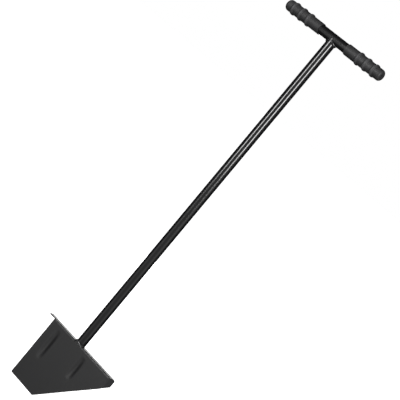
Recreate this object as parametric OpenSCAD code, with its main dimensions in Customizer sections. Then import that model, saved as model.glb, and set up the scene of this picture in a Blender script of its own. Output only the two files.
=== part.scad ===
// Step-on turf and shingle spade: one tube shaft, a welded T-handle with two rubber
// grips, and a flat sheet blade whose top edge is turned back as a foot step.
//
// The origin is on the shaft axis, level with the cutting edge.
// +Z runs up the shaft, +X runs along the T-handle towards the blade's turned end,
// and the blade's working face looks towards -Y.

/* [Tubes] */
// Outside diameter of the shaft and of the cross tube
tube_d = 22.2; // [19:0.1:24]
// Wall of both tubes
tube_wall = 1.6; // [1:0.1:2.5]
// Height of the T-handle's axis above the step
handle_rise = 834; // [500:1:1000]
// Length of the shaft that runs down behind the blade
shaft_lap = 70; // [40:1:90]

/* [Grips] */
// Length of the T-handle over both grips
handle_l = 286; // [260:1:360]
// Length of one rubber grip
grip_l = 103.6; // [90:0.1:120]
// Diameter of a grip between its ribs
grip_d = 25.6; // [24:0.1:30]
// Diameter over the ribs
rib_d = 29.6; // [27:0.1:34]
// Number of ribs on a grip
rib_count = 3; // [1:1:3]
// Distance between neighbouring ribs
rib_pitch = 22.4; // [16:0.1:26]
// Distance from a grip's closed end to its outermost rib
rib_inset = 22.2; // [16:0.1:30]
// Width of a rib where it meets the grip
rib_w = 9; // [6:0.5:12]
// Thickness of the rubber over the end of the cross tube
grip_end_t = 4; // [3:0.5:8]
// Corner radius of a grip's closed end
grip_end_r = 7.3; // [3:0.1:8]

/* [Blade] */
// Thickness of the blade's sheet
sheet_t = 2; // [1.5:0.1:2.5]
// Height of the blade from its cutting edge to the step
blade_h = 151; // [130:1:180]
// Distance from the shaft axis to the blade's upright edge
blade_left = 83; // [60:1:100]
// Distance from the shaft axis to the near end of the cutting edge's slope
slope_start = 5; // [0:1:20]
// Distance from the shaft axis to the fold of the turned end
fold_x = 112.5; // [90:0.5:130]
// Height of the blade at the fold
fold_h = 31.5; // [24:0.5:40]
// Radius of the blade's cutting corners
corner_r = 2; // [1:0.5:4]

/* [Turned end] */
// Angle that the end is turned back by
end_angle = 63; // [30:1:80]
// Length of the turned end past its fold
end_l = 14.5; // [12:0.1:22]
// Height of the turned end at its tip
end_h = 17.4; // [14:0.1:22]
// Radius of the turned end's top corner
end_r = 3.5; // [2:0.5:6]

/* [Step] */
// Depth of the step from the blade's face to its back edge
step_depth = 15; // [12:1:25]
// How far the step stands out past the blade's upright edge
step_overhang = 20; // [5:1:30]
// Outside radius of the sheet's bends
bend_r = 3; // [2.5:0.1:4]
// Width of the relief cut where the two bends meet
fold_relief = 1; // [0.5:0.5:4]

/* [Pressed ribs] */
// Distances of the two pressed ribs from the shaft axis
pressed_x = [-54, 36];
// Lengths of the two pressed ribs
pressed_l = [76, 58];
// Distances from the step down to the middle of each pressed rib
pressed_drop = [50, 41];
// Depth of a pressed rib at its middle
pressed_h = 1.8; // [0.8:0.1:1.9]
// Width of a pressed rib
pressed_w = 16; // [9:0.5:20]

/* [Welds] */
// Leg of the bead where the shaft meets the T-handle
handle_leg = 3.6; // [3:0.1:5]
// Height of the bead around the shaft on the step
step_bead_h = 5; // [3:0.5:7]
// Width of the bead around the shaft on the step
step_bead_w = 5.2; // [3:0.1:5.2]
// Leg of the two beads behind the blade
rear_leg = 5; // [4:0.1:6]
// Length of the two beads behind the blade
rear_bead_l = 56; // [30:1:60]
// Distance from the step down to the top of the two beads behind the blade
rear_bead_drop = 8; // [6:1:14]

/* [Hidden] */
$fn = 96;

// Rounding that keeps cutting tools clear of the faces that they cut through
slack = 1;
tube_r = tube_d / 2;
handle_z = blade_h + handle_rise;
cross_l = handle_l - 2 * grip_end_t;
shaft_foot_z = blade_h - shaft_lap;

// The shaft's front touches the back of the blade
back_y = -tube_r;
face_y = back_y - sheet_t;
step_back_y = face_y + step_depth;
// The step is cut away around the shaft, and the bead fills the gap
notch_r = tube_r + step_bead_w;

// Flats on each side of a bend of the turned end
bend_flats = 8;
// Cylinder that hollows the handle bead's underside: its radius is less than the bead's reach
// by the first value, and its axis is below the handle's by the second value's share of it
bead_hollow = [0.7, 0.58];
// Outside of the step bead, as shares of its width and of its height
step_bead_shape = [[1, 0], [0.6, 0.4], [0.25, 0.8], [0, 1]];
// Where a rear bead's root lies on the blade, as a share of the shaft's radius
rear_bead_root = 0.55;
// Outside of a rear bead, as shares of its leg across the blade and away from it
rear_bead_shape = [[1, 0], [0.85, 0.5], [0.78, 1.15]];

paint = [0.06, 0.06, 0.065];
bead_paint = [0.10, 0.10, 0.105];
rubber = [0.13, 0.13, 0.135];

// A round tube that stands on the XY plane
module tube(length) {
    difference() {
        cylinder(r = tube_r, h = length);
        translate([0, 0, -slack]) cylinder(r = tube_r - tube_wall, h = length + 2 * slack);
    }
}

// A solid bar along X, centred on the shaft axis at the given height
module cross_bar(radius, length, z) {
    translate([-length / 2, 0, z]) rotate([0, 90, 0]) cylinder(r = radius, h = length);
}

// The shaft, coped at its top to sit against the cross tube
module shaft_tube() {
    color(paint) difference() {
        translate([0, 0, shaft_foot_z]) tube(handle_z - shaft_foot_z);
        cross_bar(tube_r, 4 * tube_d, handle_z);
    }
}

module cross_tube() {
    color(paint) translate([-cross_l / 2, 0, handle_z]) rotate([0, 90, 0]) tube(cross_l);
}

// Half of a grip's lengthwise section, from its open end at y = 0 to its closed end
module grip_section() {
    core_r = grip_d / 2 - grip_end_r;
    ridge_h = (rib_d - grip_d) / 2;
    ridge_r = (rib_w * rib_w / 4 + ridge_h * ridge_h) / (2 * ridge_h);
    difference() {
        union() {
            square([grip_d / 2, grip_l - grip_end_r]);
            square([core_r, grip_l]);
            translate([core_r, grip_l - grip_end_r]) circle(r = grip_end_r);
            for (i = [0 : rib_count - 1])
                translate([rib_d / 2 - ridge_r, grip_l - rib_inset - i * rib_pitch])
                    circle(r = ridge_r);
        }
        translate([-slack, -slack]) square([tube_r + slack, grip_l - grip_end_t + slack]);
        translate([-rib_d, -slack]) square([rib_d, grip_l + 2 * slack]);
    }
}

// A grip on the +X arm; side = -1 puts it on the other arm
module grip(side) {
    color(rubber) translate([side * (handle_l / 2 - grip_l), 0, handle_z])
        rotate([0, side * 90, 0]) rotate_extrude() grip_section();
}

module grip_left() { grip(-1); }

module grip_right() { grip(1); }

// The flat of the blade, seen from its working face, with its cutting corner rounded
module blade_outline() {
    difference() {
        polygon([
            [-blade_left, 0], [-slope_start, 0], [fold_x, blade_h - fold_h],
            [fold_x, blade_h - bend_r], [-blade_left, blade_h - bend_r]
        ]);
        difference() {
            translate([-blade_left - slack, -slack]) square(corner_r + slack);
            translate([corner_r - blade_left, corner_r]) circle(r = corner_r);
        }
    }
}

// The low tongue of sheet that stays in front of the shaft where the step is cut away
module shaft_tongue() {
    half_w = sqrt(notch_r * notch_r - face_y * face_y) - slack / 2;
    translate([-half_w, face_y, blade_h - bend_r - slack])
        cube([2 * half_w, sheet_t, bend_r / 2 + slack]);
}

// The bent strip along the blade's top: the step with its rounded front edge
module step_strip() {
    strip_l = blade_left + fold_x - fold_relief;
    translate([-blade_left, 0, 0]) rotate([90, 0, 90]) linear_extrude(strip_l) {
        translate([face_y + bend_r, blade_h - sheet_t])
            square([step_depth - bend_r, sheet_t]);
        intersection() {
            translate([face_y + bend_r, blade_h - bend_r]) difference() {
                circle(r = bend_r);
                circle(r = bend_r - sheet_t);
            }
            translate([face_y, blade_h - bend_r]) square(bend_r);
        }
    }
}

// The flat end of the step that stands out past the blade's upright edge
module step_ear() {
    depth = step_depth - bend_r;
    translate([-blade_left - step_overhang, face_y + bend_r, blade_h - sheet_t])
        linear_extrude(sheet_t) {
            translate([corner_r, 0]) square([step_overhang - corner_r + slack, depth]);
            translate([0, corner_r]) square([step_overhang, depth - 2 * corner_r]);
            for (y = [corner_r, depth - corner_r])
                translate([corner_r, y]) circle(r = corner_r);
        }
}

// The three-cornered end of the step, which stops short of the turned end
module step_corner() {
    depth = step_depth - bend_r;
    translate([fold_x, face_y + bend_r, blade_h - sheet_t]) linear_extrude(sheet_t) polygon([
        [-fold_relief - slack, 0], [0, 0], [depth / tan(end_angle), depth],
        [-fold_relief - slack, depth]
    ]);
}

// Points on a bend around the fold's centre, seen from above
function bend_points(radius) = [
    for (i = [0 : bend_flats])
        radius * [sin(end_angle * i / bend_flats), -cos(end_angle * i / bend_flats)]
];

// The end of the blade that is turned back, with its fold
module turned_end() {
    slope = (fold_h - end_h) / end_l;
    base_z = blade_h - fold_h;
    inner_r = bend_r - sheet_t;
    outward = [sin(end_angle), -cos(end_angle)];
    along = [cos(end_angle), sin(end_angle)];
    outer_side = bend_points(bend_r);
    inner_side = bend_points(inner_r);
    translate([fold_x, face_y + bend_r, 0]) difference() {
        translate([0, 0, base_z]) linear_extrude(fold_h) polygon(concat(
            outer_side, [bend_r * outward + end_l * along, inner_r * outward + end_l * along],
            [for (i = [bend_flats : -1 : 0]) inner_side[i]]
        ));
        rotate([0, 0, end_angle]) rotate([90, 0, 0]) linear_extrude(2 * bend_r) {
            polygon([
                [-slack, base_z - 2 * slope * slack], [end_l + slack, blade_h - end_h],
                [end_l + slack, base_z - 2 * slack], [-slack, base_z - 2 * slack]
            ]);
            translate([end_l - end_r, blade_h - end_r]) difference() {
                square(end_r + slack);
                circle(r = end_r);
            }
        }
    }
}

// A long, shallow arc that stands out behind the blade and sinks back into it
module pressed_arc(x, length, z, width, sink) {
    sweep_r = (length * length / 4 + pressed_h * pressed_h) / (2 * pressed_h);
    translate([x - width / 2, back_y + pressed_h - sink - sweep_r, z]) rotate([0, 90, 0])
        cylinder(r = sweep_r, h = width, $fn = 720);
}

// Both pressed ribs, from the given depth in front of the blade's back to their crests
module pressed_ribs(width, sink, depth) {
    intersection() {
        translate([-blade_left, back_y - depth, slack])
            cube([blade_left + fold_x, depth + pressed_h + slack, blade_h - bend_r - 2 * slack]);
        for (i = [0, 1])
            pressed_arc(pressed_x[i], pressed_l[i], blade_h - pressed_drop[i], width, sink);
    }
}

module blade() {
    color(paint) difference() {
        union() {
            difference() {
                union() {
                    step_strip();
                    step_ear();
                }
                translate([0, 0, blade_h - bend_r]) cylinder(r = notch_r, h = 2 * bend_r);
            }
            translate([0, back_y, 0]) rotate([90, 0, 0]) linear_extrude(sheet_t) blade_outline();
            shaft_tongue();
            step_corner();
            turned_end();
            pressed_ribs(pressed_w, 0, sheet_t / 2);
        }
        pressed_ribs(pressed_w - 2 * sheet_t, sheet_t, sheet_t + slack);
    }
}

// The bead that fills the corner between the shaft and the cross tube
module handle_weld() {
    reach = tube_r + handle_leg;
    color(bead_paint) difference() {
        intersection() {
            translate([0, 0, handle_z - 2 * tube_r]) cylinder(r = reach, h = 2 * tube_r);
            cross_bar(reach, 4 * tube_d, handle_z);
            cross_bar(reach - bead_hollow[0], 4 * tube_d, handle_z - reach * bead_hollow[1]);
        }
        translate([0, 0, handle_z - 3 * tube_r]) cylinder(r = tube_r, h = 4 * tube_r);
        cross_bar(tube_r, 5 * tube_d, handle_z);
    }
}

// The bead around the shaft where it passes the step, flush with the blade's face
module step_weld() {
    color(bead_paint) difference() {
        intersection() {
            translate([0, 0, blade_h]) rotate_extrude() polygon(concat(
                [[tube_r, -sheet_t], [notch_r, -sheet_t]],
                [for (p = step_bead_shape) [tube_r + step_bead_w * p[0], step_bead_h * p[1]]]
            ));
            translate([-tube_d, face_y, blade_h - tube_d])
                cube([2 * tube_d, step_depth, 2 * tube_d]);
        }
        translate([-blade_left, face_y - slack, 0])
            cube([2 * blade_left, sheet_t + slack, blade_h - bend_r / 2]);
    }
}

// A bead down one side of the shaft's lap behind the blade
module rear_weld(side) {
    root_x = tube_r * rear_bead_root;
    foot_z = blade_h - rear_bead_drop - rear_bead_l;
    color(bead_paint) translate([0, 0, foot_z]) linear_extrude(rear_bead_l) difference() {
        polygon(concat(
            [[side * slack, back_y]],
            [for (p = rear_bead_shape) [side * (root_x + rear_leg * p[0]), back_y + rear_leg * p[1]]],
            [[side * slack, back_y + rear_leg]]
        ));
        circle(r = tube_r);
    }
}

module rear_weld_left() { rear_weld(-1); }

module rear_weld_right() { rear_weld(1); }

shaft_tube();
cross_tube();
grip_left();
grip_right();
blade();
handle_weld();
step_weld();
rear_weld_left();
rear_weld_right();
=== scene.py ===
import math

import bmesh
import bpy
from mathutils import Matrix, Vector, noise


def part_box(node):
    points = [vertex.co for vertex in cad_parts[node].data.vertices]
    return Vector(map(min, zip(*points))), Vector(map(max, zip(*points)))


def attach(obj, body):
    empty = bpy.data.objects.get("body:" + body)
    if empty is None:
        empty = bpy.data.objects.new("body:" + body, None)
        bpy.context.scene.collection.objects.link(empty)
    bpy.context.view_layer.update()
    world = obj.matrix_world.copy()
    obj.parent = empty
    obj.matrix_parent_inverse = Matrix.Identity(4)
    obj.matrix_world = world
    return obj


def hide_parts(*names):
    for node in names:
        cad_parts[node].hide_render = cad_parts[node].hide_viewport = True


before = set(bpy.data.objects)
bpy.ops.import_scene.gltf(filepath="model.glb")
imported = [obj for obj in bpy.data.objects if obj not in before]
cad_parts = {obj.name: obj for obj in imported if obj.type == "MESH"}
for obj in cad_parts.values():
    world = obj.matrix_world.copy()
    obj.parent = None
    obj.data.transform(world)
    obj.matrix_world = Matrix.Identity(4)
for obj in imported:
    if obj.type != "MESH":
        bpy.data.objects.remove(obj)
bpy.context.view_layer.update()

# Looks of the step-on spade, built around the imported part, in metres and in the part's own frame:
# origin on the shaft's axis level with the cutting edge, +Z up the shaft, the blade faces -Y.
MM = 0.001

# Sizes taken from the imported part
SHAFT_LO, SHAFT_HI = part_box("shaft_tube")
CROSS_LO, CROSS_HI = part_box("cross_tube")
GRIP_LO, GRIP_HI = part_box("grip_right")
BLADE_LO, BLADE_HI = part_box("blade")
TUBE_R = (SHAFT_HI.x - SHAFT_LO.x) / 2
HANDLE_Z = (CROSS_LO.z + CROSS_HI.z) / 2
STEP_Z = BLADE_HI.z
FACE_Y = BLADE_LO.y
RIB_R = (GRIP_HI.z - GRIP_LO.z) / 2
GRIP_L = GRIP_HI.x - GRIP_LO.x

# Grips: barrel, rounded closed end, three ribs counted from that end
BARREL_R = 12.8 * MM
GRIP_END_R = 7.3 * MM
GRIP_END_T = 4 * MM
RIB_COUNT = 3
RIB_W = 9 * MM
RIB_INSET = 22.2 * MM
RIB_PITCH = 22.4 * MM
RIB_FILLET = 0.35 * MM
SEAM_DEPTH = 0.22 * MM

# Sheet and tube
TUBE_WALL = 1.6 * MM
SHEET_T = 2 * MM
BEND_R = 3 * MM
STEP_DEPTH = 15 * MM
STEP_OVERHANG = 20 * MM
BLADE_LEFT = -BLADE_LO.x - STEP_OVERHANG
SLOPE_START = 5 * MM
FOLD_X = 112.5 * MM
FOLD_H = 31.5 * MM
FOLD_RELIEF = 0.2 * MM
CORNER_R = 2 * MM
END_ANGLE = math.radians(63)
END_L = 14.5 * MM
END_H = 17.4 * MM
END_R = 3.5 * MM
NOTCH_HALF = 9.7 * MM
BACK_Y = FACE_Y + SHEET_T
BEND_Y = FACE_Y + BEND_R
BEND_Z = STEP_Z - BEND_R
SLOPE = (STEP_Z - FOLD_H) / (FOLD_X + SLOPE_START)
# Pressed ribs: place across the blade, height of the middle, length
PRESSED = ((-54 * MM, 101 * MM, 76 * MM), (36 * MM, 110 * MM, 58 * MM))
PRESSED_W = 20 * MM
PRESSED_H = 1.9 * MM

# Mesh fineness: points round a tube, rows up the blade's face, width of its columns, width of the
# step's strips, steps round a bend
AROUND = 128
ROWS = 100
COLUMN_W = 1.4 * MM
STRIP_W = 1 * MM
BEND_STEPS = 8


def new_object(name, verts, faces, sharp=35):
    """A smooth-shaded closed mesh whose edges sharper than the given angle stay crisp."""
    mesh = bpy.data.meshes.new(name)
    mesh.from_pydata([tuple(v) for v in verts], [], faces)
    mesh.validate()
    shell = bmesh.new()
    shell.from_mesh(mesh)
    bmesh.ops.recalc_face_normals(shell, faces=shell.faces)
    shell.to_mesh(mesh)
    shell.free()
    mesh.shade_smooth()
    mesh.set_sharp_from_angle(angle=math.radians(sharp))
    obj = bpy.data.objects.new(name, mesh)
    bpy.context.scene.collection.objects.link(obj)
    return obj


def ring_faces(rings, count, closed):
    """Quads between neighbouring rings of count points; closed joins the last ring to the first."""
    faces = []
    last = rings if closed else rings - 1
    for i in range(last):
        a, b = i * count, ((i + 1) % rings) * count
        for j in range(count):
            k = (j + 1) % count
            faces.append((a + j, a + k, b + k, b + j))
    return faces


def spaced(start, end, step):
    """Evenly spaced values from start to end, about a step apart."""
    count = max(1, round(abs(end - start) / step))
    return [start + (end - start) * i / count for i in range(count + 1)]


def soften(obj, width):
    """Breaks the sharp edges of a piece with a small rounded bevel."""
    bevel = obj.modifiers.new("edges", "BEVEL")
    bevel.width = width
    bevel.segments = 2
    bevel.limit_method = "ANGLE"
    bevel.angle_limit = math.radians(40)
    bevel.harden_normals = True
    return obj


def place(obj, material, node):
    """Gives a finished piece its material and slot, and lets it stand for its CAD node."""
    obj.data.materials.append(material)
    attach(obj, "root")
    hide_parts(node)


# ---------------------------------------------------------------- materials

class Nodes:
    """A short way to write a node tree."""

    def __init__(self, name):
        self.material = bpy.data.materials.new(name)
        self.material.use_nodes = True
        self.tree = self.material.node_tree
        self.shader = self.tree.nodes["Principled BSDF"]
        self.coords = self.add("ShaderNodeTexCoord").outputs["Object"]

    def add(self, kind, **values):
        node = self.tree.nodes.new(kind)
        for key, value in values.items():
            setattr(node, key, value)
        return node

    def link(self, source, target):
        self.tree.links.new(source, target)

    def mapped(self, scale, location=(0, 0, 0)):
        node = self.add("ShaderNodeMapping")
        node.inputs["Location"].default_value = location
        node.inputs["Scale"].default_value = scale
        self.link(self.coords, node.inputs["Vector"])
        return node.outputs["Vector"]

    def noise(self, scale, detail, roughness=0.5, stretch=(1, 1, 1)):
        node = self.add("ShaderNodeTexNoise")
        node.inputs["Scale"].default_value = scale
        node.inputs["Detail"].default_value = detail
        node.inputs["Roughness"].default_value = roughness
        self.link(self.mapped(stretch), node.inputs["Vector"])
        return node.outputs["Fac"]

    def length(self, vector):
        node = self.add("ShaderNodeVectorMath", operation="LENGTH")
        self.link(vector, node.inputs[0])
        return node.outputs["Value"]

    def spread(self, source, old, new):
        """Turns the range old of a value into the range new, and clamps it there."""
        node = self.add("ShaderNodeMapRange")
        for key, value in zip(("From Min", "From Max", "To Min", "To Max"), (*old, *new)):
            node.inputs[key].default_value = value
        self.link(source, node.inputs["Value"])
        return node.outputs["Result"]

    def mix(self, factor, first, second):
        node = self.add("ShaderNodeMix", data_type="RGBA")
        self.link(factor, node.inputs["Factor"])
        node.inputs["A"].default_value = (*first, 1)
        node.inputs["B"].default_value = (*second, 1)
        return node.outputs["Result"]

    def combine(self, operation, first, second):
        node = self.add("ShaderNodeMath", operation=operation)
        self.link(first, node.inputs[0])
        if isinstance(second, float):
            node.inputs[1].default_value = second
        else:
            self.link(second, node.inputs[1])
        return node.outputs["Value"]

    def bump(self, height, distance, strength, below=None):
        node = self.add("ShaderNodeBump")
        node.inputs["Distance"].default_value = distance
        node.inputs["Strength"].default_value = strength
        self.link(height, node.inputs["Height"])
        if below is not None:
            self.link(below, node.inputs["Normal"])
        return node.outputs["Normal"]

    def finish(self, colour, roughness, normal):
        """Links the three values that vary over the surface, and gives the material."""
        self.link(colour, self.shader.inputs["Base Color"])
        self.link(roughness, self.shader.inputs["Roughness"])
        self.link(normal, self.shader.inputs["Normal"])
        return self.material


def enamel(name, colour, roughness, peel):
    """Black powder coat: orange peel, slow changes of gloss, and sparse fine rub marks."""
    n = Nodes(name)
    scratches = n.noise(scale=1500, detail=2, roughness=0.6, stretch=(1, 1, 0.05))
    marks = n.spread(scratches, old=(0.70, 0.78), new=(0, 1))
    rubbed = tuple(c * 1.9 + 0.004 for c in colour)
    cloud = n.noise(scale=9, detail=3)
    gloss = n.spread(cloud, old=(0.3, 0.7), new=(roughness - 0.03, roughness + 0.04))
    dulled = n.combine("ADD", gloss, n.combine("MULTIPLY", marks, 0.08))
    wave = n.bump(n.noise(scale=420, detail=2), distance=0.12 * MM, strength=peel)
    fine = n.noise(scale=2600, detail=2)
    skin = n.bump(fine, distance=0.03 * MM, strength=peel, below=wave)
    return n.finish(n.mix(marks, colour, rubbed), dulled, skin)


def rubber(name, dark, light):
    """Moulded rubber: fine grain, a chalky bloom in slow patches, and a painted highlight that
    lightens the ribs' crests.
    """
    n = Nodes(name)
    n.shader.inputs["Specular IOR Level"].default_value = 0.28
    from_axis = n.length(n.mapped(scale=(0, 1, 1), location=(0, 0, -HANDLE_Z)))
    # Painted highlight: the colour turns lighter towards the ribs' crests, by distance from the
    # handle's axis, so the grooves between them stay darker.
    painted_rib_highlight = n.spread(from_axis, old=(RIB_R - 1.3 * MM, RIB_R - 0.2 * MM), new=(0, 0.7))
    patches = n.noise(scale=60, detail=4, roughness=0.6)
    bloom = n.spread(patches, old=(0.35, 0.75), new=(0, 0.4))
    dull = n.spread(n.noise(scale=300, detail=3), old=(0.3, 0.7), new=(0.48, 0.58))
    coarse = n.bump(n.noise(scale=900, detail=3, roughness=0.6), distance=0.12 * MM, strength=0.35)
    fine = n.noise(scale=4200, detail=2)
    grain = n.bump(fine, distance=0.05 * MM, strength=0.5, below=coarse)
    return n.finish(n.mix(n.combine("ADD", painted_rib_highlight, bloom), dark, light), dull, grain)


# ---------------------------------------------------------------- tubes and grips

def circle_at(i):
    return math.cos(2 * math.pi * i / AROUND), math.sin(2 * math.pi * i / AROUND)


def shaft():
    """The shaft tube, coped against the cross tube at its top, with a broken edge at its foot."""
    bore = TUBE_R - TUBE_WALL
    edge = 0.3 * MM
    overlap = 0.2 * MM
    foot = SHAFT_LO.z
    levels = 40
    verts = []

    def ring(radius, height=None):
        """A ring at a height, or on the cross tube's underside if none is given."""
        for i in range(AROUND):
            c, s = circle_at(i)
            arch = math.sqrt(max(TUBE_R ** 2 - (radius * s) ** 2, 0))
            coped = min(HANDLE_Z - arch + overlap, HANDLE_Z)
            verts.append((radius * c, radius * s, coped if height is None else height))

    ring(TUBE_R - edge, foot)
    for i in range(levels + 1):
        ring(TUBE_R, foot + edge + (HANDLE_Z - 2 * TUBE_R - foot) * i / levels)
    ring(TUBE_R)
    ring(bore)
    ring(bore, foot + edge)
    ring(bore + edge, foot)
    return new_object("spade_shaft", verts, ring_faces(len(verts) // AROUND, AROUND, True))


def turned(profile, seam=0):
    """Turns (x, radius) points round the T-handle's axis, with a mould line above and below."""
    verts = []
    for x, radius in profile:
        for i in range(AROUND):
            c, s = circle_at(i)
            on_seam = i % (AROUND // 2) == AROUND // 4 and radius > TUBE_R
            depth = seam if on_seam else 0
            verts.append((x, (radius - depth) * c, HANDLE_Z + (radius - depth) * s))
    return verts


def cross_tube():
    """The T-handle's bare tube. Its ends are inside the grips."""
    bore = TUBE_R - TUBE_WALL
    xs = spaced(CROSS_LO.x, CROSS_HI.x, (CROSS_HI.x - CROSS_LO.x) / 24)
    profile = [(x, TUBE_R) for x in xs] + [(xs[-1], bore), (xs[0], bore)]
    return new_object("spade_cross_tube", turned(profile), ring_faces(len(profile), AROUND, True))


def grip_radius(x):
    """Outer radius of a grip at distance x from its closed end."""
    base = BARREL_R
    if x < GRIP_END_R:
        base -= GRIP_END_R - math.sqrt(max(GRIP_END_R ** 2 - (GRIP_END_R - x) ** 2, 0))
    rise = RIB_R - BARREL_R
    ridge_r = (RIB_W ** 2 / 4 + rise ** 2) / (2 * rise)
    foot = 1.6 * MM
    radius = base
    for k in range(RIB_COUNT):
        d = abs(x - RIB_INSET - k * RIB_PITCH)
        if d < RIB_W / 2 + foot:
            above = RIB_R - ridge_r + math.sqrt(max(ridge_r ** 2 - d ** 2, 0)) - base
            radius = base + (above + math.hypot(above, RIB_FILLET)) / 2
            radius -= RIB_FILLET / 2 * max(0, 1 - abs(above) / rise)
    return min(radius, RIB_R)


def grip(side):
    """A moulded rubber grip: barrel, round ribs, rounded closed end with a dish, faint mould line."""
    lip = 0.8 * MM
    dish = 0.5 * MM
    centre = 0.3 * MM
    turn_steps = 14
    quarter = math.pi / 2 / turn_steps
    xs = [GRIP_END_R * (1 - math.cos(quarter * i)) for i in range(turn_steps + 1)]
    xs += spaced(GRIP_END_R, GRIP_L - lip, (GRIP_L - lip - GRIP_END_R) / 150)[1:]
    points = [(dish, centre), (dish, 2.2 * MM), (0.6 * dish, 2.9 * MM), (0.1 * dish, 3.4 * MM)]
    points += [(x, max(grip_radius(x), 3.8 * MM)) for x in xs]
    points += [(GRIP_L - 0.3 * lip, BARREL_R - 0.3 * lip), (GRIP_L, BARREL_R - lip)]
    points += [(GRIP_L, TUBE_R), (GRIP_END_T, TUBE_R), (GRIP_END_T, centre)]
    verts = turned([(side * (GRIP_HI.x - x), radius) for x, radius in points], SEAM_DEPTH)
    faces = ring_faces(len(points), AROUND, False)
    faces.append(tuple(range(AROUND)))
    faces.append(tuple(range(len(verts) - AROUND, len(verts))))
    return new_object("spade_grip_right" if side > 0 else "spade_grip_left", verts, faces)


# ---------------------------------------------------------------- blade

def micron(length):
    """A length as a whole number of microns, to tell points of the sheet apart."""
    return round(length * 1e6)


class Sheet:
    """A bent sheet: quads on its outer side, then thickness along each point's inward direction."""

    def __init__(self):
        self.keys = {}
        self.outer = []
        self.inner = []
        self.quads = []

    def point(self, key, position, inward):
        if key not in self.keys:
            self.keys[key] = len(self.outer)
            self.outer.append(Vector(position))
            self.inner.append(Vector(position) + Vector(inward) * SHEET_T)
        return self.keys[key]

    def patch(self, columns, rows, at):
        """Quads over a lattice; at(column, row) gives key, position and inward direction."""
        for i in range(len(columns) - 1):
            for j in range(len(rows) - 1):
                pairs = ((i, j), (i + 1, j), (i + 1, j + 1), (i, j + 1))
                self.quads.append([self.point(*at(columns[a], rows[b])) for a, b in pairs])

    def build(self, name):
        """Joins the outer side, the inner side and the cut edges between them."""
        count = len(self.outer)
        edges = set()
        faces = []
        for quad in self.quads:
            faces.append(quad)
            faces.append([count + v for v in reversed(quad)])
            edges.update((quad[i], quad[(i + 1) % 4]) for i in range(4))
        for a, b in sorted(edges):
            if (b, a) not in edges:
                faces.append((b, a, count + a, count + b))
        return new_object(name, self.outer + self.inner, faces)


def rounded(distance, radius):
    """How far a corner of this radius stands back at a distance from where it ends."""
    into = max(0, radius - distance)
    return radius - math.sqrt(max(radius ** 2 - into ** 2, 0))


def blade_foot(x):
    """Height of the blade's lower edge at x: the cutting edge, then the slope up to the fold."""
    if x > -SLOPE_START:
        return (x + SLOPE_START) * SLOPE
    return rounded(x + BLADE_LEFT, CORNER_R)


def pressed_depth(x, z):
    """How far the pressed ribs sink into the face at (x, z)."""
    depth = 0
    for rib_x, rib_z, length in PRESSED:
        across = abs(x - rib_x) / (PRESSED_W / 2)
        along = abs(z - rib_z) / (length / 2)
        if across < 1 and along < 1:
            depth += PRESSED_H * math.cos(math.pi / 2 * across) ** 2 * (1 - along ** 2)
    return depth


def on_face(x, row):
    foot = blade_foot(x)
    z = foot + (BEND_Z - foot) * row / ROWS
    return ("face", micron(x), row), (x, FACE_Y + pressed_depth(x, z), z), (0, 1, 0)


def on_step(x, row):
    """A place on the bend, by its angle, or on the step's flat, by its y."""
    part, value = row
    if part == "flat":
        return ("flat", micron(x), micron(value)), (x, value, STEP_Z), (0, 0, -1)
    if value == 0:
        return on_face(x, ROWS)
    angle = math.pi / 2 * value / BEND_STEPS
    c, s = math.cos(angle), math.sin(angle)
    key = ("flat", micron(x), micron(BEND_Y)) if value == BEND_STEPS else ("bend", micron(x), value)
    return key, (x, BEND_Y - BEND_R * c, BEND_Z + BEND_R * s), (0, c, -s)


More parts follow.
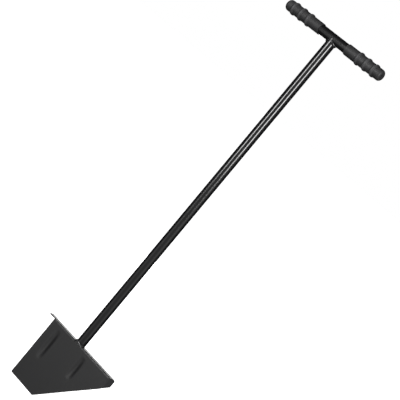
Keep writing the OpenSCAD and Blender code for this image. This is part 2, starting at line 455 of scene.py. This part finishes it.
def blade():
    """The folded sheet: face, step with its ear and corner, and the turned end."""
    sheet = Sheet()
    step_end = FOLD_X - FOLD_RELIEF
    left = [-BLADE_LEFT + d * MM for d in (0, 0.1, 0.3, 0.6, 1, 1.5)]
    left += spaced(CORNER_R - BLADE_LEFT, -NOTCH_HALF, COLUMN_W)
    middle = spaced(-NOTCH_HALF, NOTCH_HALF, COLUMN_W)
    right = spaced(NOTCH_HALF, step_end, COLUMN_W)
    relief = [step_end, FOLD_X]
    rows = list(range(ROWS + 1))
    for columns in (left, middle, right, relief):
        sheet.patch(columns, rows, on_face)

    back = BEND_Y + STEP_DEPTH - BEND_R
    bend = [("bend", i) for i in range(BEND_STEPS + 1)]
    flat = [("flat", y) for y in spaced(BEND_Y, back, STRIP_W)]
    for columns in (left, right):
        sheet.patch(columns, bend, on_step)
        sheet.patch(columns, flat, on_step)

    def on_ear(share, row):
        if share == 0:
            return on_step(-BLADE_LEFT, row)
        y = row[1]
        length = STEP_OVERHANG - rounded(min(y - BEND_Y, back - y), CORNER_R)
        position = (-BLADE_LEFT - length * share, y, STEP_Z)
        return ("ear", share, micron(y)), position, (0, 0, -1)

    def on_corner(share, row):
        if share == 0:
            return on_step(step_end, row)
        y = row[1]
        reach = FOLD_RELIEF + (y - BEND_Y) / math.tan(END_ANGLE)
        return ("corner", share, micron(y)), (step_end + reach * share, y, STEP_Z), (0, 0, -1)

    sheet.patch([1, 0.8, 0.6, 0.4, 0.2, 0], flat, on_ear)
    sheet.patch([0, 0.5, 1], flat, on_corner)

    tip_slope = (FOLD_H - END_H - SLOPE * BEND_R * END_ANGLE) / END_L
    along = Vector((math.cos(END_ANGLE), math.sin(END_ANGLE), 0))
    neck = 1 - BEND_R / FOLD_H

    def on_end(column, row):
        """A place round the turn, by its angle, or past it, by its run along the end."""
        angle, run = column
        if angle == 0 and row <= ROWS:
            return on_face(FOLD_X, row)
        foot = STEP_Z - FOLD_H + SLOPE * BEND_R * angle + tip_slope * run
        top = STEP_Z - rounded(END_L - run, END_R)
        share = neck * row / ROWS if row <= ROWS else neck + (1 - neck) * (row - ROWS) / 2
        outward = Vector((math.sin(angle), -math.cos(angle), 0))
        centre = Vector((FOLD_X, BEND_Y, foot + (top - foot) * share))
        key = ("end", round(angle * 1e4), micron(run), row)
        return key, centre + outward * BEND_R + along * run, -outward

    end_rows = rows + [ROWS + 1, ROWS + 2]
    turn = [(END_ANGLE * i / BEND_STEPS, 0) for i in range(BEND_STEPS + 1)]
    tip = [(END_ANGLE, run) for run in spaced(0, END_L - END_R, STRIP_W)]
    tip += [(END_ANGLE, END_L - END_R * (1 - s)) for s in (0.3, 0.55, 0.75, 0.9, 0.97, 1)]
    sheet.patch(turn, end_rows, on_end)
    sheet.patch(tip, end_rows, on_end)
    return soften(sheet.build("spade_blade"), 0.15 * MM)


# ---------------------------------------------------------------- welds

LAP_STEPS = 8
BEAD_SHARES = (0.15, 0.35, 0.55, 0.75, 0.9)


def swept(name, sections, closed):
    """A solid through equal sections; an open one is capped at both ends."""
    count = len(sections[0])
    verts = [p for section in sections for p in section]
    faces = ring_faces(len(sections), count, closed)
    if not closed:
        faces.append(tuple(range(count)))
        faces.append(tuple(range(len(verts) - count, len(verts))))
    return new_object(name, verts, faces, sharp=60)


def ripple(laps, height):
    """Height of the overlapping crescents of a hand-laid bead at a place counted in crescents."""
    place_in = laps % 1
    return height * (1 - (2 * place_in - 1) ** 2 * (0.6 + 0.4 * place_in))


def wobble(x, y, size):
    """A slow change of up to about the given size, as a hand makes."""
    return size * noise.noise(Vector((x, y, 0.5)))


def tapered(i, steps, over):
    """Rises from near 0 at a bead's two ends to 1 within a number of steps."""
    return min(1, (i + 0.6) / over, (steps - i + 0.6) / over) ** 0.5


def underside(y):
    """Height of the cross tube's lower side at y."""
    return HANDLE_Z - math.sqrt(max(TUBE_R ** 2 - y ** 2, 0))


def handle_weld():
    """The bead round the shaft's coped top, from the shaft's wall to the cross tube's."""
    leg = 3.6 * MM
    crown = 0.2 * MM
    crotch = 0.36 * TUBE_R
    root_r = 0.82 * TUBE_R
    laps = 26
    steps = laps * LAP_STEPS
    sections = []
    for i in range(steps):
        a = 2 * math.pi * i / steps
        c, s = math.cos(a), math.sin(a)
        size = leg * (1 + wobble(3 * c, 2 + 2 * s, 0.16))
        joint = HANDLE_Z - math.hypot(TUBE_R * c, crotch)
        low = Vector((TUBE_R * c, TUBE_R * s, joint - size))
        front = s * s
        high_z = joint + size * 0.7 * (1 - abs(c))
        high_y = math.copysign(math.sqrt(max(TUBE_R ** 2 - (high_z - HANDLE_Z) ** 2, 0)), s)
        y = TUBE_R * s * (1 - front) + high_y * front
        z = high_z * front + underside(min(abs(y), TUBE_R)) * (1 - front)
        high = Vector(((TUBE_R + size * abs(c)) * c, y, z))
        outward = Vector((c, s, -abs(c) * 0.9)).normalized()
        lift = crown + ripple(laps * i / steps, 0.35 * MM)
        section = [Vector((root_r * c, root_r * s, joint + 0.5 * MM)), low]
        for t in BEAD_SHARES:
            section.append(low.lerp(high, t) + outward * lift * math.sin(math.pi * t) ** 0.7)
        sections.append(section + [high])
    return swept("spade_handle_weld", sections, True)


def step_weld():
    """The bead round the shaft's front on the step, dressed flush with the blade's face."""
    width = 4.0 * MM
    height = 4.4 * MM
    root_r = TUBE_R - 0.8 * MM
    laps = 13
    steps = laps * LAP_STEPS
    past = math.asin((FACE_Y + STEP_DEPTH) / (TUBE_R + width))
    sections = []
    for i in range(steps + 1):
        a = -math.pi - past + (math.pi + 2 * past) * i / steps
        c, s = math.cos(a), math.sin(a)
        ends = tapered(i, steps, LAP_STEPS)
        wide = width * ends * (1 + wobble(3 * c, 8 + 2 * s, 0.12))
        tall = height * ends * (1 + wobble(3 * c, 14 + 2 * s, 0.12))
        lift = ripple(laps * i / steps, 0.22 * MM) * ends
        foot = STEP_Z - SHEET_T if s > -0.55 else BEND_Z
        shape = [(root_r, foot), (TUBE_R + wide, foot), (TUBE_R + wide, STEP_Z)]
        for t in (0.12, 0.3, 0.5, 0.7, 0.88):
            crown = lift * math.sin(math.pi * t)
            shape.append((TUBE_R + wide * (1 - t) + crown, STEP_Z + tall * t + crown))
        shape += [(TUBE_R, STEP_Z + tall), (root_r, STEP_Z + tall)]
        sections.append([(radius * c, max(radius * s, FACE_Y), z) for radius, z in shape])
    return swept("spade_step_weld", sections, False)


def rear_weld(side):
    """A bead in the corner between the shaft's lap and the blade's back."""
    name = "rear_weld_right" if side > 0 else "rear_weld_left"
    lo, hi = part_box(name)
    root_x = 3 * MM
    leg = max(abs(lo.x), abs(hi.x)) - root_x - 0.6 * MM
    wrap = math.radians(60)
    laps = 18
    lap_steps = 6
    steps = laps * lap_steps
    outward = Vector((side * 0.75, 0.66, 0))
    sections = []
    for i in range(steps + 1):
        z = lo.z + (hi.z - lo.z) * i / steps
        ends = tapered(i, steps, lap_steps)
        size = ends * (1 + wobble(z * 160, 30 + side, 0.12))
        lift = ripple(laps * i / steps, 0.5 * MM) * ends ** 2
        plate = Vector((side * (root_x + leg * size), BACK_Y, z))
        tube = Vector((side * TUBE_R * math.sin(wrap * size), -TUBE_R * math.cos(wrap * size), z))
        section = [Vector((side * root_x, BACK_Y + 0.2 * MM, z)), plate]
        for t in BEAD_SHARES:
            section.append(plate.lerp(tube, t) + outward * (lift * math.sin(math.pi * t)))
        sections.append(section + [tube])
    return swept("spade_" + name, sections, False)


# ---------------------------------------------------------------- the object

GLOSS = enamel("gloss_enamel", (0.005, 0.005, 0.0053), roughness=0.15, peel=0.10)
SATIN = enamel("satin_enamel", (0.008, 0.008, 0.0084), roughness=0.34, peel=0.25)
BEAD = enamel("bead_enamel", (0.008, 0.008, 0.0084), roughness=0.22, peel=0.2)
RUBBER = rubber("grip_rubber", (0.013, 0.013, 0.0135), (0.036, 0.036, 0.0375))

place(shaft(), GLOSS, "shaft_tube")
place(cross_tube(), GLOSS, "cross_tube")
place(blade(), SATIN, "blade")
place(grip(-1), RUBBER, "grip_left")
place(grip(1), RUBBER, "grip_right")
place(handle_weld(), BEAD, "handle_weld")
place(step_weld(), BEAD, "step_weld")
place(rear_weld(-1), BEAD, "rear_weld_left")
place(rear_weld(1), BEAD, "rear_weld_right")


# ---------------------------------------------------------------- studio

VIEW_AZIMUTH = 31.0
VIEW_ELEVATION = 5.405
VIEW_ROLL = 39.788
VIEW_DISTANCE = 3007.86 * MM
VIEW_TARGET = Vector((0.689, 0, 549.74)) * MM
VIEW_NUDGE = 1.05 * MM
LENS = 129.01
WHITE = (1, 1, 1, 1)


def direction(azimuth, elevation=0):
    """Unit vector towards an azimuth, where 0 is in front of the blade and 90 is its +X side."""
    a, e = math.radians(azimuth), math.radians(elevation)
    return Vector((math.sin(a) * math.cos(e), -math.cos(a) * math.cos(e), math.sin(e)))


def add_camera():
    """The camera, rolled so that the upright tool leans across the frame."""
    back = direction(VIEW_AZIMUTH, VIEW_ELEVATION)
    right = direction(VIEW_AZIMUTH + 90)
    up = back.cross(right)
    c, s = math.cos(math.radians(VIEW_ROLL)), math.sin(math.radians(VIEW_ROLL))
    turned_right = right * c + up * s
    turned_up = up * c - right * s
    data = bpy.data.cameras.new("camera")
    data.sensor_width = 36
    data.lens = LENS
    data.clip_start = 0.05
    data.clip_end = 100
    camera = bpy.data.objects.new("camera", data)
    bpy.context.scene.collection.objects.link(camera)
    spot = VIEW_TARGET + back * VIEW_DISTANCE + (turned_up - turned_right) * VIEW_NUDGE
    turn = Matrix((turned_right, turned_up, back)).transposed().to_4x4()
    camera.matrix_world = Matrix.Translation(spot) @ turn
    bpy.context.scene.camera = camera


def softbox(name, azimuth, distance, height, size, watts, aim=0.55):
    """A soft lamp at an azimuth and height that looks at the shaft's axis at height aim."""
    data = bpy.data.lights.new(name, "AREA")
    data.shape = "RECTANGLE"
    data.size, data.size_y = size
    data.energy = watts
    light = bpy.data.objects.new(name, data)
    bpy.context.scene.collection.objects.link(light)
    light.location = direction(azimuth) * distance + Vector((0, 0, height))
    towards = Vector((0, 0, aim)) - light.location
    light.rotation_euler = towards.to_track_quat("-Z", "Y").to_euler()
    light.visible_camera = False


def add_floor():
    """A plain white floor, seen by the camera only, so that it stays even."""
    size = 40
    verts = [(-size, -size, 0), (size, -size, 0), (size, size, 0), (-size, size, 0)]
    mesh = bpy.data.meshes.new("floor")
    mesh.from_pydata(verts, [], [(0, 1, 2, 3)])
    floor = bpy.data.objects.new("floor", mesh)
    bpy.context.scene.collection.objects.link(floor)
    floor.location.z = -0.5 * MM
    material = bpy.data.materials.new("floor")
    material.use_nodes = True
    shader = material.node_tree.nodes["Principled BSDF"]
    shader.inputs["Base Color"].default_value = (0.9, 0.9, 0.9, 1)
    shader.inputs["Roughness"].default_value = 0.9
    shader.inputs["Emission Color"].default_value = WHITE
    shader.inputs["Emission Strength"].default_value = 1.0
    mesh.materials.append(material)
    floor.visible_glossy = False
    floor.visible_diffuse = False
    floor.visible_shadow = False


def add_world():
    """White behind the object; a broad soft front light and a dark back for what it reflects."""
    back_light, front_light = 0.01, 0.38
    turn_start, turn_end = 0.05, 0.5
    world = bpy.data.worlds.new("studio")
    bpy.context.scene.world = world
    world.use_nodes = True
    tree = world.node_tree
    tree.nodes.clear()

    def add(kind, **values):
        node = tree.nodes.new(kind)
        for key, value in values.items():
            setattr(node, key, value)
        return node

    def background():
        node = add("ShaderNodeBackground")
        node.inputs["Color"].default_value = WHITE
        return node

    coords = add("ShaderNodeTexCoord")
    facing = add("ShaderNodeVectorMath", operation="DOT_PRODUCT")
    facing.inputs[1].default_value = direction(VIEW_AZIMUTH)
    ramp = add("ShaderNodeMapRange", interpolation_type="SMOOTHSTEP")
    ramp.inputs["From Min"].default_value = turn_start
    ramp.inputs["From Max"].default_value = turn_end
    ramp.inputs["To Min"].default_value = back_light
    ramp.inputs["To Max"].default_value = front_light
    studio = background()
    path = add("ShaderNodeLightPath")
    mix = add("ShaderNodeMixShader")
    output = add("ShaderNodeOutputWorld")
    tree.links.new(coords.outputs["Generated"], facing.inputs[0])
    tree.links.new(facing.outputs["Value"], ramp.inputs["Value"])
    tree.links.new(ramp.outputs["Result"], studio.inputs["Strength"])
    tree.links.new(path.outputs["Is Camera Ray"], mix.inputs["Fac"])
    tree.links.new(studio.outputs["Background"], mix.inputs[1])
    tree.links.new(background().outputs["Background"], mix.inputs[2])
    tree.links.new(mix.outputs["Shader"], output.inputs["Surface"])


add_camera()
add_floor()
add_world()
softbox("left_strip", azimuth=-16, distance=2.2, height=1.15, size=(0.55, 1.4), watts=46)
softbox("right_strip", azimuth=61, distance=2.2, height=1.15, size=(0.65, 1.4), watts=60)
softbox("left_low", azimuth=-26, distance=2.2, height=0, size=(1.2, 1.2), watts=1.7, aim=0)
softbox("right_low", azimuth=78, distance=2.2, height=0, size=(1.4, 1.2), watts=2.4, aim=0)
softbox("left_fill", azimuth=-80, distance=2.0, height=2.3, size=(0.6, 0.6), watts=8, aim=0.98)
softbox("back_panel", azimuth=211, distance=2.6, height=0.396, size=(0.9, 0.9), watts=8, aim=0.15)
bpy.context.scene.view_settings.view_transform = "Standard"
